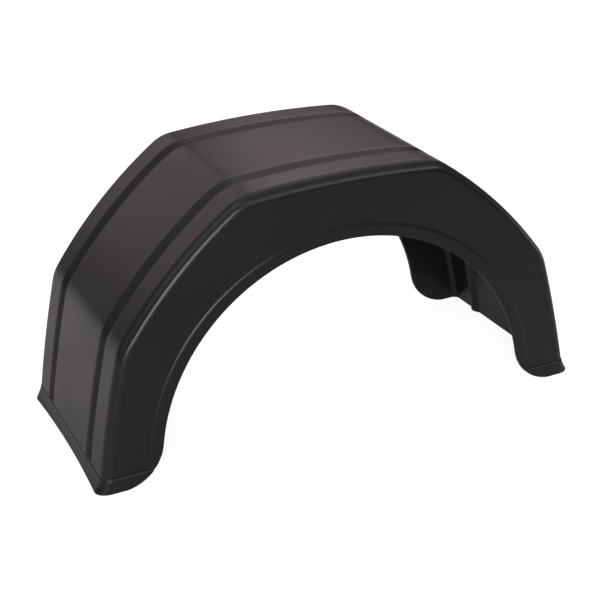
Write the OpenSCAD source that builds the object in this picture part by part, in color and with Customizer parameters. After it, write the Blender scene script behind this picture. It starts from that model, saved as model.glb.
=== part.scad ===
// Single-axle trailer mudguard, one moulding in black plastic.
// A five-sided tread runs over the wheel. Every side of it bulges a little and the bends between
// them are rounded. Two grooves are pressed into it lengthwise, and its shoulders are stepped on
// the three upper sides. Flat walls with a round wheel arch close both sides, a raised rim
// borders the arch, and a raised hem goes round each leg end.
// X runs along the guard, Y across it, and Z points up from the plane of the leg ends.

/* [Tread line] */
// Length over the tread at the leg ends
foot_l = 553; // [530:1:640]
// How far the lower bends lie in from the leg ends
leg_in = 33; // [20:1:45]
// Height of the lower bends above the leg ends
shoulder_h = 151; // [135:1:170]
// How far the upper bends lie in from the lower ones
slope_in = 135; // [120:1:150]
// Height of the upper bends above the leg ends
crown_h = 284; // [275:1:320]
// Bulge of the crown above its chord
crown_bulge = 5.3; // [3:0.1:9]
// Bulge of each slope above its chord
slope_bulge = 8.9; // [4:0.1:14]
// Bulge of each leg above its chord
leg_bulge = 2; // [1:0.1:5]
// Outer radius of the four bends
bend_r = 26; // [24:1:40]

/* [Shell] */
// Width across the side walls
guard_w = 240; // [190:1:320]
// Thickness of the plastic
wall = 4; // [3:0.5:5]
// Outer radius between the tread and the side walls
corner_r = 17; // [14:0.5:20]

/* [Grooves] */
// Distance of a groove's middle from the side
groove_in = 50; // [42:1:62]
// Width of a groove over its rounded edges
groove_w = 20; // [14:1:26]
// Depth of a groove
groove_d = 4.5; // [2:0.5:6]

/* [Shoulder step] */
// Depth of the ledge below the tread on the slopes
slope_step = 5; // [3:0.5:7]
// Depth of the ledge below the tread on the crown
crown_step = 8.5; // [4:0.5:9]
// Distance of the inner edge of the ledge from the side
step_in = 7; // [6:0.5:8]
// Width of the slanted face between the ledge and the tread
step_run = 6; // [5:0.5:9]

/* [Wheel arch] */
// How far the sides of the arch lie in from the leg ends
arch_in = 66.5; // [60:0.5:80]
// Height of the middle of the arch above the leg ends
arch_z = 10; // [0:1:14]
// Radius of the inner corner of each leg end
toe_r = 48; // [20:1:55]
// Width of the raised rim round the arch
rim_w = 15; // [10:1:22]
// Height of the rim above the side wall
rim_rise = 1.6; // [0.8:0.2:3]
// Width of the slanted edge of the rim
rim_run = 3; // [1:0.5:5]

/* [Hem] */
// Height of the hem round a leg end
hem_h = 16; // [10:1:24]
// Height of the hem above the side wall
hem_side = 1.8; // [1:0.2:3]
// Height of the hem above the tread at its corners
hem_corner = 5; // [3:0.5:7]
// Height of the hem above the tread half way across
hem_mid = 1; // [0.5:0.5:3]

/* [Hidden] */
$fn = 96;

shoulder_l = foot_l - 2 * leg_in;
crown_l = shoulder_l - 2 * slope_in;
arch_r = foot_l / 2 - arch_in;
half_w = guard_w / 2;
groove_y = half_w - groove_in;
// The inside corner is fuller than the outside one, so the ledge keeps its thickness
inner_r = min(corner_r + 2, bend_r - wall - 3);
// How far cutters reach past the faces that they cross
past = 25;
// Angle between a bend and the sides at the lines where they meet
crease = 4;
corner_steps = 6;
groove_steps = 10;
step_steps = 6;
bow_steps = 10;
// The most that a facet of a round face may lie inside it
facet_gap = 0.12;

// The corners of the tread line, from the left leg end over the crown to the right leg end
line = [
    [-foot_l / 2, 0],
    [-shoulder_l / 2, shoulder_h],
    [-crown_l / 2, crown_h],
    [crown_l / 2, crown_h],
    [shoulder_l / 2, shoulder_h],
    [foot_l / 2, 0]
];
bulge = [leg_bulge, slope_bulge, crown_bulge, slope_bulge, leg_bulge];
ledge = [0, slope_step, crown_step, slope_step, 0];
SIDES = 5;

// Geometry of the tread line: each side is an arc through two corners with its own bulge

function side_r(i) =
    let (half_chord = norm(line[i + 1] - line[i]) / 2)
    (half_chord * half_chord + bulge[i] * bulge[i]) / (2 * bulge[i]);

function side_c(i) =
    let (
        along = (line[i + 1] - line[i]) / norm(line[i + 1] - line[i]),
        outward = [-along[1], along[0]]
    )
    (line[i] + line[i + 1]) / 2 - outward * (side_r(i) - bulge[i]);

// Where two circles cross, on the side of the line between their middles that has the point near
function crossing(c1, r1, c2, r2, near) =
    let (
        d = norm(c2 - c1),
        u = (c2 - c1) / d,
        a = (r1 * r1 - r2 * r2 + d * d) / (2 * d),
        h = sqrt(r1 * r1 - a * a),
        p = c1 + a * u,
        q = [-u[1], u[0]] * h
    )
    norm(p + q - near) < norm(p - q - near) ? p + q : p - q;

// Distance between the middles of two circles that cross at the crease angle, one inside the other
function crossed(r1, r2) = sqrt(r1 * r1 + r2 * r2 - 2 * r1 * r2 * cos(crease));

// The middle of the bend between side i and the next one
function bend_c(i) = crossing(
    side_c(i), crossed(side_r(i), bend_r),
    side_c(i + 1), crossed(side_r(i + 1), bend_r),
    line[i + 1]
);

function bearing(from, to) = atan2(to[1] - from[1], to[0] - from[0]);

// The section across the guard: points are [height above the tread line, place across]

function dip(y) =
    let (off = abs(abs(y) - groove_y), half = groove_w / 2)
    off < half ? groove_d * (1 + cos(180 * off / half)) / 2 : 0;

// One quarter round from the side wall up to the tread, on the -Y side
function corner(side_y, top, r) = [
    for (k = [0:corner_steps])
        let (a = 90 * k / corner_steps)
        [top - r + r * sin(a), -side_y + r - r * cos(a)]
];

// The tread from the inner end of the corner to the middle, with its groove
function half_tread(top) = [
    for (k = [0:groove_steps])
        let (y = -groove_y - groove_w / 2 + groove_w * k / groove_steps)
        [top - dip(y), y]
];

function both_halves(points) = concat(
    points,
    [for (k = [len(points) - 1:-1:0]) [points[k][0], -points[k][1]]]
);

// The line over the shell from side to side, at a depth below its outer face
function shell_line(depth, r) = both_halves(concat(
    corner(half_w - depth, -depth, r),
    half_tread(-depth)
));

// The outer line of the hem stands proud of the shell, most of all at its corners
function hem_line() = both_halves(concat(
    [
        for (k = [0:corner_steps])
            let (a = 90 * k / corner_steps)
            [
                -corner_r + (corner_r + hem_corner) * sin(a),
                -half_w + corner_r - (corner_r + hem_side) * cos(a)
            ]
    ],
    [
        for (k = [1:bow_steps - 1])
            let (across = k / bow_steps - 1)
            [hem_mid + (hem_corner - hem_mid) * across * across, (half_w - corner_r) * across]
    ]
));

// The slanted face from a ledge at the given depth up to the tread
function step_line(depth) = [
    for (k = [0:step_steps])
        let (t = k / step_steps)
        [-depth * (1 + cos(180 * t)) / 2, -half_w + step_in + step_run * t]
];

function fragments(r) = ceil(180 / acos(1 - facet_gap / r) / 4) * 4;

// Turns an outline round an axis across the guard; its points are [height above radius r, place]
module turned(c, r, points) {
    translate([c[0], 0, c[1]])
        rotate([90, 0, 0])
            rotate_extrude($fn = fragments(r))
                polygon([for (p = points) [r + p[0], p[1]]]);
}

// All that lies inside the arc of side i, with the given line as its surface
module inside_side(i, points) {
    turned(side_c(i), side_r(i), concat(
        [[-side_r(i), points[0][1]]],
        points,
        [[-side_r(i), -points[0][1]]]
    ));
}

// What a bend rounds off the corner between side i and the next one
module outside_bend(i, points) {
    c = bend_c(i);
    begin = bearing(side_c(i), c);
    end = bearing(side_c(i + 1), c);
    translate([c[0], 0, c[1]])
        rotate([90, 0, 0])
            rotate_extrude(start = end, angle = begin - end, $fn = fragments(bend_r))
                polygon([
                    for (p = concat([[past, -half_w - past]], points, [[past, half_w + past]]))
                        [bend_r + p[0], p[1]]
                ]);
}

// The solid under a line that runs over all five sides, down to the given height
module body(points, low) {
    difference() {
        intersection() {
            intersection_for(i = [0:SIDES - 1])
                inside_side(i, points);
            translate([-foot_l, -guard_w, low])
                cube([2 * foot_l, 2 * guard_w, 2 * crown_h - low]);
        }
        for (i = [0:SIDES - 2])
            outside_bend(i, points);
    }
}

// The wheel arch seen from the side. The round inner corner of each leg end touches the arch
// from outside and the plane of the leg ends from above.
module arch_outline() {
    toe_x = sqrt(pow(arch_r + toe_r, 2) - pow(toe_r - arch_z, 2));
    touch = [0, arch_z] + [toe_x, toe_r - arch_z] * arch_r / (arch_r + toe_r);
    translate([0, arch_z])
        circle(r = arch_r, $fn = 180);
    for (side = [-1, 1])
        difference() {
            polygon([
                [0, -past], [0, arch_z], [side * touch[0], touch[1]],
                [side * toe_x, toe_r], [side * toe_x, -past]
            ]);
            translate([side * toe_x, toe_r])
                circle(r = toe_r);
        }
}

// The raised rim goes round the arch on both side walls
module rims() {
    for (side = [-1, 1])
        translate([0, 0, arch_z])
            rotate([90, 0, 0])
                rotate_extrude()
                    polygon([
                        [arch_r - rim_w, side * (half_w - wall / 2)],
                        [arch_r + rim_w, side * (half_w - wall / 2)],
                        [arch_r + rim_w, side * half_w],
                        [arch_r + rim_w - rim_run, side * (half_w + rim_rise)],
                        [arch_r - rim_w, side * (half_w + rim_rise)]
                    ]);
}

// Each hem follows the lean of its leg and ends level, at the height of the hem
module hems() {
    intersection() {
        inside_side(0, hem_line());
        inside_side(SIDES - 1, hem_line());
        translate([-foot_l, -guard_w, 0])
            cube([2 * foot_l, 2 * guard_w, hem_h]);
    }
}

// The steps are cut along the three upper sides, deepest along the crown. Each cut runs straight
// on where the tread turns away from it, so the steps fade out just below the lower bends.
module shoulder_steps() {
    for (i = [1:SIDES - 2], side = [0, 1])
        mirror([0, side, 0])
            turned(side_c(i), side_r(i), concat(
                [[past, -half_w - past], [-ledge[i], -half_w - past]],
                step_line(ledge[i]),
                [[past, -half_w + step_in + step_run + past]]
            ));
}

module mudguard() {
    color("#2b2b2d")
        difference() {
            union() {
                body(shell_line(0, corner_r), 0);
                rims();
                hems();
            }
            body(shell_line(wall, inner_r), -past);
            translate([0, guard_w, 0])
                rotate([90, 0, 0])
                    linear_extrude(height = 2 * guard_w)
                        arch_outline();
            translate([-foot_l, -guard_w, -arch_r - 2 * rim_w])
                cube([2 * foot_l, 2 * guard_w, arch_r + 2 * rim_w]);
            shoulder_steps();
        }
}

mudguard();
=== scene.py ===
# A trailer mudguard, moulded in one piece from black plastic. It stands on its two leg ends on a
# white studio floor, with the left leg towards the camera. Everything is in metres.
import math

import bpy
from mathutils import Matrix, Vector


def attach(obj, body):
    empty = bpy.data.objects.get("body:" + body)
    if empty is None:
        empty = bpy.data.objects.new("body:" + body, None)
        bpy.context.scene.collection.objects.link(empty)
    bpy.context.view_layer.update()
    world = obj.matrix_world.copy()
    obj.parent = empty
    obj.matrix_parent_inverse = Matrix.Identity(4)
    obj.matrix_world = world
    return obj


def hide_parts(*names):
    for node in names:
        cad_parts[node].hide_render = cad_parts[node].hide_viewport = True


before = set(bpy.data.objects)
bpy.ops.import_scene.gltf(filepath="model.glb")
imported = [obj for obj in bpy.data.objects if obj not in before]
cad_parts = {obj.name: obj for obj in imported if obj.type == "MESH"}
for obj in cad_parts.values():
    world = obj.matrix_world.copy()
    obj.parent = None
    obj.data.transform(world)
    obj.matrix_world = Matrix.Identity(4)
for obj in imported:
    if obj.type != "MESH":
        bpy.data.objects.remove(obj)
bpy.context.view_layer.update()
mm = 0.001

# Camera
# A long lens in front of the left leg, well above the crown, so the tread and the near side wall
# both show. It leans over by two degrees, as the photograph does.

camera_place = Vector((-0.55986, -1.26405, 0.74661))
camera_right = Vector((0.90654, -0.42056, -0.03630)).normalized()
camera_up = Vector((0.20731, 0.36865, 0.90616)).normalized()
camera = bpy.data.objects.new("camera", bpy.data.cameras.new("camera"))
camera.data.sensor_width = 36
camera.data.lens = 82.42
camera_turn = Matrix((camera_right, camera_up, camera_right.cross(camera_up))).transposed()
camera.matrix_world = Matrix.Translation(camera_place) @ camera_turn.to_4x4()
bpy.context.scene.collection.objects.link(camera)
bpy.context.scene.camera = camera
bpy.context.scene.view_settings.view_transform = "Standard"

# Studio floor
# A wide sheet of warm white paper, lit a little from below at its far end. The camera sees it as
# white, less the faint shadow that the guard leaves on it.

floor_half = 8.0
floor_mesh = bpy.data.meshes.new("floor")
floor_mesh.from_pydata(
    [(x * floor_half, y * floor_half, 0) for x, y in ((-1, -1), (1, -1), (1, 1), (-1, 1))],
    [],
    [(0, 1, 2, 3)],
)
floor = bpy.data.objects.new("floor", floor_mesh)
bpy.context.scene.collection.objects.link(floor)

paper = bpy.data.materials.new("white paper")
paper.use_nodes = True
paper_nodes = paper.node_tree.nodes
paper_links = paper.node_tree.links
paper_nodes.clear()
paper_out = paper_nodes.new("ShaderNodeOutputMaterial")
paper_sum = paper_nodes.new("ShaderNodeAddShader")
paper_matt = paper_nodes.new("ShaderNodeBsdfDiffuse")
paper_matt.inputs["Color"].default_value = (0.42, 0.39, 0.41, 1)
paper_glow = paper_nodes.new("ShaderNodeEmission")
paper_place = paper_nodes.new("ShaderNodeTexCoord")
paper_xyz = paper_nodes.new("ShaderNodeSeparateXYZ")
table_glow = paper_nodes.new("ShaderNodeMapRange")
table_glow.interpolation_type = "SMOOTHSTEP"
table_glow.inputs["From Min"].default_value = -0.8
table_glow.inputs["From Max"].default_value = 0.9
table_glow.inputs["To Min"].default_value = 0.0
table_glow.inputs["To Max"].default_value = 0.28
paper_path = paper_nodes.new("ShaderNodeLightPath")
paper_seen = paper_nodes.new("ShaderNodeMix")
paper_seen.inputs["B"].default_value = 0.88
paper_links.new(paper_place.outputs["Object"], paper_xyz.inputs[0])
paper_links.new(paper_xyz.outputs[1], table_glow.inputs["Value"])
paper_links.new(table_glow.outputs[0], paper_seen.inputs["A"])
paper_links.new(paper_path.outputs["Is Camera Ray"], paper_seen.inputs["Factor"])
paper_links.new(paper_seen.outputs["Result"], paper_glow.inputs["Strength"])
paper_links.new(paper_matt.outputs[0], paper_sum.inputs[0])
paper_links.new(paper_glow.outputs[0], paper_sum.inputs[1])
paper_links.new(paper_sum.outputs[0], paper_out.inputs["Surface"])
floor_mesh.materials.append(paper)

# Studio light
# A grey tent that is brightest overhead, two soft lamps behind the guard, one above it and one to
# the left of the camera. The camera sees the tent as plain white.

world = bpy.data.worlds.new("tent")
bpy.context.scene.world = world
world.use_nodes = True
tent_nodes = world.node_tree.nodes
tent_links = world.node_tree.links
tent_nodes.clear()
tent_out = tent_nodes.new("ShaderNodeOutputWorld")
tent_mix = tent_nodes.new("ShaderNodeMixShader")
tent_light = tent_nodes.new("ShaderNodeBackground")
tent_light.inputs["Color"].default_value = (1.0, 0.9, 0.95, 1)
tent_towards = tent_nodes.new("ShaderNodeTexCoord")
tent_height = tent_nodes.new("ShaderNodeSeparateXYZ")
tent_rise = tent_nodes.new("ShaderNodeMapRange")
tent_rise.inputs["To Min"].default_value = 0.03
tent_rise.inputs["To Max"].default_value = 0.5
tent_links.new(tent_towards.outputs["Generated"], tent_height.inputs[0])
tent_links.new(tent_height.outputs[2], tent_rise.inputs["Value"])
tent_links.new(tent_rise.outputs[0], tent_light.inputs["Strength"])
tent_white = tent_nodes.new("ShaderNodeBackground")
tent_white.inputs["Strength"].default_value = 1.0
tent_path = tent_nodes.new("ShaderNodeLightPath")
tent_links.new(tent_path.outputs["Is Camera Ray"], tent_mix.inputs["Fac"])
tent_links.new(tent_light.outputs[0], tent_mix.inputs[1])
tent_links.new(tent_white.outputs[0], tent_mix.inputs[2])
tent_links.new(tent_mix.outputs[0], tent_out.inputs["Surface"])


def soft_lamp(name, bearing_degrees, climb_degrees, distance, size, watts, colour):
    """A square lamp that faces the guard from a bearing about Z and a climb above the floor."""
    data = bpy.data.lights.new(name, "AREA")
    data.size = size
    data.energy = watts
    data.color = colour
    lamp = bpy.data.objects.new(name, data)
    around, climb = math.radians(bearing_degrees), math.radians(climb_degrees)
    towards = Vector((math.cos(around), math.sin(around), math.tan(climb))).normalized()
    lamp.location = Vector((0, 0, 0.14)) + towards * distance
    lamp.rotation_euler = (-towards).to_track_quat("-Z", "Y").to_euler()
    lamp.visible_camera = False
    bpy.context.scene.collection.objects.link(lamp)


soft_lamp("right back lamp", 52, 40, 6, 4.2, 58, (1.0, 0.8, 0.85))
soft_lamp("left back lamp", 104, 27, 6, 4.2, 27, (1.0, 0.8, 0.85))
soft_lamp("top lamp", -20, 66, 6, 4.2, 45, (1.0, 0.9, 0.93))
soft_lamp("front lamp", -122, 23, 6, 4.2, 300, (0.97, 0.98, 1.03))

# Guard: sizes of the moulding
# One shell of black plastic, pressed over a mould while it is hot. The line over the tread is made
# of five shallow arcs joined by four round bends, and its left half is worked out here.

half_width = 120 * mm
plastic_wall = 4 * mm
tread_corners = [
    Vector((x * mm, z * mm))
    for x, z in ((-276.5, 0), (-243.5, 151), (-108.5, 284), (108.5, 284))
]
tread_bulges = [2 * mm, 8.9 * mm, 5.3 * mm]
bend_radius = 60 * mm
shoulder_radius = 11 * mm
arch_centre = Vector((0, 10 * mm))
arch_radius = 210 * mm
toe_radius = 48 * mm
toe_x = math.sqrt((arch_radius + toe_radius) ** 2 - (toe_radius - arch_centre.y) ** 2)
toe_top = arch_centre.y + (toe_radius - arch_centre.y) * arch_radius / (arch_radius + toe_radius)
hem_height = 16 * mm


def side_circle(i):
    """Centre and radius of the arc over side i, counted from the left leg."""
    start, end = tread_corners[i], tread_corners[i + 1]
    half_chord = (end - start).length / 2
    bulge = tread_bulges[i]
    radius = (half_chord**2 + bulge**2) / (2 * bulge)
    along = (end - start).normalized()
    outward = Vector((-along.y, along.x))
    return (start + end) / 2 - outward * (radius - bulge), radius


def bend_centre(i):
    """Centre of the bend that touches the arcs of sides i and i + 1 from inside."""
    (a, radius_a), (b, radius_b) = side_circle(i), side_circle(i + 1)
    reach_a, reach_b = radius_a - bend_radius, radius_b - bend_radius
    apart = (b - a).length
    unit = (b - a) / apart
    along = (reach_a**2 - reach_b**2 + apart**2) / (2 * apart)
    aside = Vector((-unit.y, unit.x)) * math.sqrt(reach_a**2 - along**2)
    corner = tread_corners[i + 1]
    return min((a + unit * along + aside, a + unit * along - aside), key=lambda p: (p - corner).length)


def bearing(centre, point):
    return math.atan2(point.y - centre.y, point.x - centre.x)


def arc_stations(centre, radius, first, last, steps):
    """Places along an arc, each with the direction straight out of the tread there."""
    stations = []
    for k in range(steps):
        angle = first + (last - first) * k / steps
        out = Vector((math.cos(angle), math.sin(angle)))
        stations.append((centre + out * radius, out))
    return stations


# Guard: the sheet
# The hot plastic before the details are pressed in: the tread, the round shoulders and the side
# walls down to the arch. Its rows lie closest where the details and the edges come.

# Up to here the rows of a leg lie level, and over the next stretch they turn square to the tread
level_top = 22 * mm
level_turn = 60 * mm
# Over this height above the toe the rows of the wall turn from level to radial
radial_turn = 110 * mm
# Where the wall is narrower than this, the rows beside the arch edge move closer together
narrow_wall = 30 * mm


def leg_stations(centre, radius, top):
    """Places up the left leg. The rows near its end lie level, as the hem does."""
    heights = [0, 0.2, 0.7, 1.5, 2.8, 4.5, 7, 10, 12.5, 14, 14.7, 15.2, 15.7, 16.2, 16.8, 17.5, 19, 22]
    climb = 14
    start = level_top / mm
    heights += [start + (top.y / mm - start) * k / climb for k in range(1, climb)]
    stations = []
    for height in heights:
        z = height * mm
        angle = math.pi - math.asin((z - centre.y) / radius)
        out = Vector((math.cos(angle), math.sin(angle)))
        level = Vector((1 / out.x, 0))
        turn = min(max((z - level_top) / level_turn, 0), 1)
        stations.append((centre + out * radius, level.lerp(out, turn * turn * (3 - 2 * turn))))
    return stations


circles = [side_circle(i) for i in range(3)]
bends = [bend_centre(i) for i in range(2)]
bend_steps, slope_steps, crown_steps = 14, 30, 18
touches = [
    (bearing(circles[i][0], bends[i]), bearing(circles[i + 1][0], bends[i])) for i in range(2)
]
bend_start = Vector((math.cos(touches[0][0]), math.sin(touches[0][0])))
half_line = leg_stations(*circles[0], bends[0] + bend_start * bend_radius)
half_line += arc_stations(bends[0], bend_radius, touches[0][0], touches[0][1], bend_steps)
half_line += arc_stations(*circles[1], touches[0][1], touches[1][0], slope_steps)
half_line += arc_stations(bends[1], bend_radius, touches[1][0], touches[1][1], bend_steps)
half_line += arc_stations(*circles[2], touches[1][1], math.pi / 2, crown_steps)


def arch_point(place):
    """The point of the arch edge that belongs to a place on the left half of the tread line."""
    z = place.y
    if z < toe_top:
        return Vector((-toe_x + math.sqrt(toe_radius**2 - (toe_radius - z) ** 2), z))
    level = math.pi - math.asin(min((z - arch_centre.y) / arch_radius, 1))
    radial = bearing(arch_centre, place)
    turn = min(max((z - toe_top) / radial_turn, 0), 1)
    angle = level + (radial - level) * turn * turn * (3 - 2 * turn)
    return arch_centre + Vector((math.cos(angle), math.sin(angle))) * arch_radius


# Distances from the arch edge up the wall, then shares of the rest of the way to the shoulder
edge_rows = [0, 0.15, 0.4, 0.7, 1.1, 2, 5, 9, 11.2, 12.2, 12.8, 13.4, 14, 14.6, 15.2, 16, 18]
wall_shares = [k / 9 for k in range(1, 9)]
# Distances from the side over the shoulder
shoulder_rows = [
    0, 0.05, 0.2, 0.4, 0.7, 1, 1.3, 1.6, 2, 2.4, 2.8, 3.2, 3.6, 4, 4.5, 5, 5.6, 6.2, 6.8, 7.4, 8,
    8.7, 9.4, 10.2, 11,
]
tread_rows = [11.6, 12.2, 12.8, 13.5, 14.5, 16, 19, 23, 28, 33] + [36 + 28 * k / 24 for k in range(25)]
tread_rows += [68, 75, 84, 93, 102, 111, 120]


def wall_point(foot, edge, row):
    """A point on the side wall between the arch edge and the foot of the shoulder."""
    span = (foot - edge).length
    shrink = min(1, span / narrow_wall)
    last = edge_rows[-1] * mm * shrink
    if row < len(edge_rows):
        reach = edge_rows[row] * mm * shrink
    else:
        reach = last + (span - last) * wall_shares[row - len(edge_rows)]
    return edge + (foot - edge) * (reach / span), reach


def half_section(place, out):
    """Points of one station from the arch edge on the near side up to the middle of the tread."""
    edge = arch_point(place)
    foot = place - out * shoulder_radius
    section = []
    for row in range(len(edge_rows) + len(wall_shares)):
        at, reach = wall_point(foot, edge, row)
        section.append((at, -half_width, reach))
    reach = (foot - edge).length
    for row in shoulder_rows:
        beyond = shoulder_radius - row * mm
        drop = shoulder_radius - math.sqrt(shoulder_radius**2 - beyond**2)
        section.append((place - out * drop, -half_width + row * mm, reach))
    for row in tread_rows:
        section.append((place, -half_width + row * mm, reach))
    return section


points, outwards, from_edge = [], [], []
line = half_line + [(Vector((0, circles[2][0].y + circles[2][1])), Vector((0, 1)))]
line += [(Vector((-p.x, p.y)), Vector((-o.x, o.y))) for p, o in reversed(half_line)]
for place, out in line:
    mirror = -1 if place.x > 0 else 1
    near = half_section(Vector((place.x * mirror, place.y)), Vector((out.x * mirror, out.y)))
    far = [(at, -y, reach) for at, y, reach in reversed(near[:-1])]
    for at, y, reach in near + far:
        points.append((at.x * mirror, y, at.y))
        outwards.append((out.x, 0, out.y))
        from_edge.append(min(reach, at.y))
across = len(points) // len(line)
faces = [
    (s * across + k, (s + 1) * across + k, (s + 1) * across + k + 1, s * across + k + 1)
    for s in range(len(line) - 1)
    for k in range(across - 1)
]
sheet_mesh = bpy.data.meshes.new("guard_shell")
sheet_mesh.from_pydata(points, [], faces)
sheet_mesh.attributes.new("outward", "FLOAT_VECTOR", "POINT").data.foreach_set(
    "vector", [c for v in outwards for c in v]
)
sheet_mesh.attributes.new("from_edge", "FLOAT", "POINT").data.foreach_set("value", from_edge)
guard = bpy.data.objects.new("guard_shell", sheet_mesh)
bpy.context.scene.collection.objects.link(guard)

# Guard: black plastic
# Polyethylene coloured right through with soot black. The mould leaves a fine leathery grain, and
# the colour and the sheen change a little in broad clouds.

plastic = bpy.data.materials.new("black moulded plastic")
plastic.use_nodes = True
plastic_nodes = plastic.node_tree.nodes
plastic_links = plastic.node_tree.links
shader = plastic_nodes["Principled BSDF"]
shader.inputs["IOR"].default_value = 1.5
place_on = plastic_nodes.new("ShaderNodeTexCoord")
cloud = plastic_nodes.new("ShaderNodeTexNoise")
cloud.inputs["Scale"].default_value = 14
cloud.inputs["Detail"].default_value = 4
plastic_links.new(place_on.outputs["Object"], cloud.inputs["Vector"])
shade = plastic_nodes.new("ShaderNodeValToRGB")
shade.color_ramp.elements[0].position = 0.3
shade.color_ramp.elements[0].color = (0.0046, 0.0055, 0.0059, 1)
shade.color_ramp.elements[1].position = 0.75
shade.color_ramp.elements[1].color = (0.0070, 0.0083, 0.0088, 1)
plastic_links.new(cloud.outputs["Fac"], shade.inputs["Fac"])
plastic_links.new(shade.outputs["Color"], shader.inputs["Base Color"])
sheen_map = plastic_nodes.new("ShaderNodeMapRange")
sheen_map.inputs["From Min"].default_value = 0.3
sheen_map.inputs["From Max"].default_value = 0.7
sheen_map.inputs["To Min"].default_value = 0.29
sheen_map.inputs["To Max"].default_value = 0.36
plastic_links.new(cloud.outputs["Fac"], sheen_map.inputs["Value"])
plastic_links.new(sheen_map.outputs[0], shader.inputs["Roughness"])
grain = plastic_nodes.new("ShaderNodeTexNoise")
grain.inputs["Scale"].default_value = 900
grain.inputs["Detail"].default_value = 3
plastic_links.new(place_on.outputs["Object"], grain.inputs["Vector"])
grain_bump = plastic_nodes.new("ShaderNodeBump")
grain_bump.inputs["Strength"].default_value = 0.25
grain_bump.inputs["Distance"].default_value = 0.0003
plastic_links.new(grain.outputs["Fac"], grain_bump.inputs["Height"])
plastic_links.new(grain_bump.outputs[0], shader.inputs["Normal"])

# Guard: pressing the details
# The tree presses the grooves into the sheet, gives it its wall, and then shapes the outer skin
# alone: the stepped shoulders, the rim round the arch and the hem round each leg end.

press = bpy.data.node_groups.new("press the guard", "GeometryNodeTree")
press.interface.new_socket("Sheet", in_out="INPUT", socket_type="NodeSocketGeometry")
press.interface.new_socket("Guard", in_out="OUTPUT", socket_type="NodeSocketGeometry")
# The power that makes the shoulder's slanted face, and the hem's flare, steep at one end
easing = 1.5
press_sizes = {
    "Wall": plastic_wall,
    "Half Width": half_width,
    "Groove Place": half_width - 50 * mm,
    "Groove Width": 20 * mm,
    "Groove Depth": 4.5 * mm,
    "Slope Centre X": circles[1][0].x,
    "Slope Centre Z": circles[1][0].y,
    "Slope Radius": circles[1][1],
    "Crown Centre Z": circles[2][0].y,
    "Crown Radius": circles[2][1],
    "Slope Step": 3.5 * mm,
    "Crown Step": 7.5 * mm,
    "Step In": 3 * mm,
    "Step Run": 9.5 * mm,
    "Step Bend": 6 * mm,
    "Ledge Bend": 7 * mm,
    "Arch Height": arch_centre.y,
    "Rim Radius": arch_radius + 15 * mm,
    "Rim Run": 3.6 * mm,
    "Rim Rise": 1.3 * mm,
    "Hem Height": hem_height,
    "Hem Run": 1.2 * mm,
    "Hem Side": 1.8 * mm,
    "Hem Corner": 5 * mm,
    "Hem Middle": 1.6 * mm,
    "Hem Top": 0.1,
    "Hem Crease": 0.5 * mm,
    "Crease Half": 1.7 * mm,
    "Edge Round": 1.1 * mm,
}
size_sockets = {
    name: press.interface.new_socket(name, in_out="INPUT", socket_type="NodeSocketFloat")
    for name in press_sizes
}
skin_socket = press.interface.new_socket(
    "Skin", in_out="INPUT", socket_type="NodeSocketMaterial"
)
press_in = press.nodes.new("NodeGroupInput")
press_out = press.nodes.new("NodeGroupOutput")


def press_node(kind, inputs=None, **settings):
    """A node with its settings, and with each named input given a value or a link."""
    node = press.nodes.new(kind)
    for name, value in settings.items():
        setattr(node, name, value)
    for name, value in (inputs or {}).items():
        if isinstance(value, bpy.types.NodeSocket):
            press.links.new(value, node.inputs[name])
        else:
            node.inputs[name].default_value = value
    return node


def size(name):
    return press_in.outputs[name]


def calc(operation, *values):
    """The result of a sum on numbers or sockets."""
    return press_node("ShaderNodeMath", dict(enumerate(values)), operation=operation).outputs[0]


def arrow(operation, *values, result="Vector"):
    """The result of a sum on vectors."""
    node = press_node("ShaderNodeVectorMath", dict(enumerate(values)), operation=operation)
    return node.outputs[result]


def stretch(vector, share):
    inputs = {"Vector": vector, "Scale": share}
    return press_node("ShaderNodeVectorMath", inputs, operation="SCALE").outputs["Vector"]


def xyz(x, y, z):
    return press_node("ShaderNodeCombineXYZ", {"X": x, "Y": y, "Z": z}).outputs[0]


def ease(value, low, high):
    """0 up to low, 1 from high on, and a smooth slope between them."""
    inputs = {"Value": value, "From Min": low, "From Max": high}
    return press_node("ShaderNodeMapRange", inputs, interpolation_type="SMOOTHSTEP").outputs[0]


def stored(name, data_type):
    return press_node(
        "GeometryNodeInputNamedAttribute", {"Name": name}, data_type=data_type
    ).outputs["Attribute"]


def keep(geometry, name, value, data_type, selection=True):
    inputs = {"Geometry": geometry, "Selection": selection, "Name": name, "Value": value}
    return press_node("GeometryNodeStoreNamedAttribute", inputs, data_type=data_type).outputs[0]


def push(geometry, offset, selection=True):
    inputs = {"Geometry": geometry, "Selection": selection, "Offset": offset}
    return press_node("GeometryNodeSetPosition", inputs).outputs[0]


here = press_node("GeometryNodeInputPosition").outputs[0]
normal = press_node("GeometryNodeInputNormal").outputs[0]
here_xyz = press_node("ShaderNodeSeparateXYZ", {0: here}).outputs
along, sideways, height = (here_xyz[k] for k in range(3))
from_middle = calc("ABSOLUTE", sideways)
from_side = calc("SUBTRACT", size("Half Width"), from_middle)
side_sign = calc("SIGN", sideways)
outward = stored("outward", "FLOAT_VECTOR")

# The grooves are pressed into both skins
off_groove = calc("ABSOLUTE", calc("SUBTRACT", from_middle, size("Groove Place")))
dip = calc(
    "MULTIPLY", size("Groove Depth"), ease(off_groove, calc("DIVIDE", size("Groove Width"), 2), 0)
)
sheet = keep(press_in.outputs["Sheet"], "facing", normal, "FLOAT_VECTOR")
sheet = keep(sheet, "skin", 1.0, "FLOAT")
sheet = keep(sheet, "dip", dip, "FLOAT")
sheet = push(sheet, stretch(outward, calc("MULTIPLY", dip, -1)))

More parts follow.
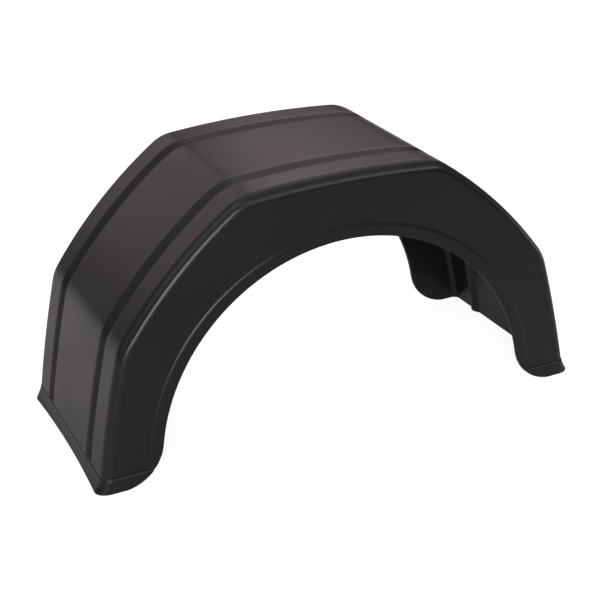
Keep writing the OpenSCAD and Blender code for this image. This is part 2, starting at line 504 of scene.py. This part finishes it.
# The inner skin lies one wall inside the outer one, and strips along the edges close the shell
pulled = press_node(
    "GeometryNodeExtrudeMesh",
    {"Mesh": sheet, "Offset Scale": calc("MULTIPLY", size("Wall"), -1), "Individual": False},
    mode="FACES",
)
inner = keep(pulled.outputs["Mesh"], "skin", 0.0, "FLOAT", pulled.outputs["Top"])
inner = press_node("GeometryNodeFlipFaces", {"Mesh": inner}).outputs[0]
joined = press.nodes.new("GeometryNodeJoinGeometry")
press.links.new(inner, joined.inputs[0])
press.links.new(sheet, joined.inputs[0])
shell = press_node(
    "GeometryNodeMergeByDistance", {"Geometry": joined.outputs[0], "Distance": 0.01 * mm}
).outputs[0]

# The shoulders step down below the arcs of the slopes and the crown, wherever those arcs run,
# and the inner skin steps down one wall below the outer one
skin = stored("skin", "FLOAT")
on_outer = calc("GREATER_THAN", skin, 0.5)
facing = stored("facing", "FLOAT_VECTOR")
below = calc("MULTIPLY", size("Wall"), calc("SUBTRACT", 1, skin))
from_step = calc("SUBTRACT", from_side, calc("DIVIDE", below, 2))
slope_gap = calc(
    "SUBTRACT",
    arrow(
        "DISTANCE",
        xyz(calc("MULTIPLY", calc("ABSOLUTE", along), -1), 0, height),
        xyz(size("Slope Centre X"), 0, size("Slope Centre Z")),
        result="Value",
    ),
    size("Slope Radius"),
)
crown_gap = calc(
    "SUBTRACT",
    arrow("DISTANCE", xyz(along, 0, height), xyz(0, 0, size("Crown Centre Z")), result="Value"),
    size("Crown Radius"),
)
flank_top = calc("ADD", size("Step In"), size("Step Run"))
up_flank = press_node(
    "ShaderNodeMapRange",
    {"Value": from_step, "From Min": flank_top, "From Max": size("Step In")},
).outputs[0]
stepped = ease(calc("POWER", up_flank, easing), 0.0, 1.0)
above = calc(
    "SMOOTH_MAX",
    calc("ADD", slope_gap, calc("MULTIPLY", size("Slope Step"), stepped)),
    calc("ADD", crown_gap, calc("MULTIPLY", size("Crown Step"), stepped)),
    calc("MULTIPLY", size("Step Bend"), stepped),
)
ledge_bend = calc("MULTIPLY", size("Ledge Bend"), stepped)
cut = calc("SMOOTH_MAX", calc("ADD", above, below), 0, ledge_bend)
cut = calc("MULTIPLY", cut, calc("LESS_THAN", from_step, flank_top))
shell = push(shell, stretch(outward, calc("MULTIPLY", cut, -1)))

# The rim stands proud of the wall round the arch, and the hem of everything near the leg ends. The
# hem flares towards its lower edge, and a fine crease runs over it.
from_arch = arrow(
    "DISTANCE", xyz(along, 0, height), xyz(0, 0, size("Arch Height")), result="Value"
)
rim = ease(from_arch, size("Rim Radius"), calc("SUBTRACT", size("Rim Radius"), size("Rim Run")))
hem = ease(height, size("Hem Height"), calc("SUBTRACT", size("Hem Height"), size("Hem Run")))
wall_part = calc("ABSOLUTE", press_node("ShaderNodeSeparateXYZ", {0: facing}).outputs[1])
relief = calc(
    "MAXIMUM",
    calc("MULTIPLY", rim, size("Rim Rise")),
    calc("MULTIPLY", hem, size("Hem Side")),
)
side_push = xyz(0, calc("MULTIPLY", side_sign, calc("MULTIPLY", relief, wall_part)), 0)
flat_half = half_width - shoulder_radius
bow = calc("POWER", calc("MINIMUM", calc("DIVIDE", from_middle, flat_half), 1), 2)
bow_rise = calc("SUBTRACT", size("Hem Corner"), size("Hem Middle"))
bow_rise = calc("ADD", size("Hem Middle"), calc("MULTIPLY", bow_rise, bow))
tread_part = calc("MAXIMUM", arrow("DOT_PRODUCT", facing, outward, result="Value"), 0)
flare = press_node(
    "ShaderNodeMapRange", {"Value": height, "From Min": size("Hem Height"), "From Max": 0.0}
).outputs[0]
flare = calc("MAXIMUM", calc("POWER", flare, easing), size("Hem Top"))
bow_rise = calc("MULTIPLY", bow_rise, flare)
hem_rise = calc("ADD", calc("MULTIPLY", bow_rise, tread_part), stored("dip", "FLOAT"))
hem_push = stretch(outward, calc("MULTIPLY", hem, hem_rise))
off_hem = calc("ABSOLUTE", calc("SUBTRACT", height, size("Hem Height")))
crease = calc("MULTIPLY", size("Hem Crease"), ease(off_hem, size("Crease Half"), 0))
crease_push = stretch(facing, calc("MULTIPLY", crease, -1))
shell = push(shell, arrow("ADD", arrow("ADD", side_push, hem_push), crease_push), on_outer)

# Both skins turn in over the edges
edge_depth = calc("MAXIMUM", calc("SUBTRACT", size("Edge Round"), stored("from_edge", "FLOAT")), 0)
edge_left = calc(
    "SUBTRACT",
    calc("MULTIPLY", size("Edge Round"), size("Edge Round")),
    calc("MULTIPLY", edge_depth, edge_depth),
)
edge_in = calc("SUBTRACT", size("Edge Round"), calc("SQRT", edge_left))
skin_sign = calc("SUBTRACT", calc("MULTIPLY", skin, -2), -1)
shell = push(shell, stretch(facing, calc("MULTIPLY", edge_in, skin_sign)))
level_xyz = press_node("ShaderNodeSeparateXYZ", {0: here}).outputs
level = xyz(level_xyz[0], level_xyz[1], calc("MAXIMUM", level_xyz[2], 0))
shell = press_node("GeometryNodeSetPosition", {"Geometry": shell, "Position": level}).outputs[0]
shell = press_node("GeometryNodeSetShadeSmooth", {"Geometry": shell}).outputs[0]
shell = press_node("GeometryNodeRealizeInstances", {"Geometry": shell}).outputs[0]
shell = press_node(
    "GeometryNodeSetMaterial", {"Geometry": shell, "Material": size("Skin")}
).outputs[0]
press.links.new(shell, press_out.inputs[0])

pressing = guard.modifiers.new("press", "NODES")
pressing.node_group = press
for name, value in press_sizes.items():
    pressing[size_sockets[name].identifier] = value
pressing[skin_socket.identifier] = plastic
evaluated = guard.evaluated_get(bpy.context.evaluated_depsgraph_get())
pressed_mesh = bpy.data.meshes.new_from_object(evaluated)
guard.modifiers.remove(pressing)
guard.data = pressed_mesh
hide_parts("mudguard")
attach(guard, "root")
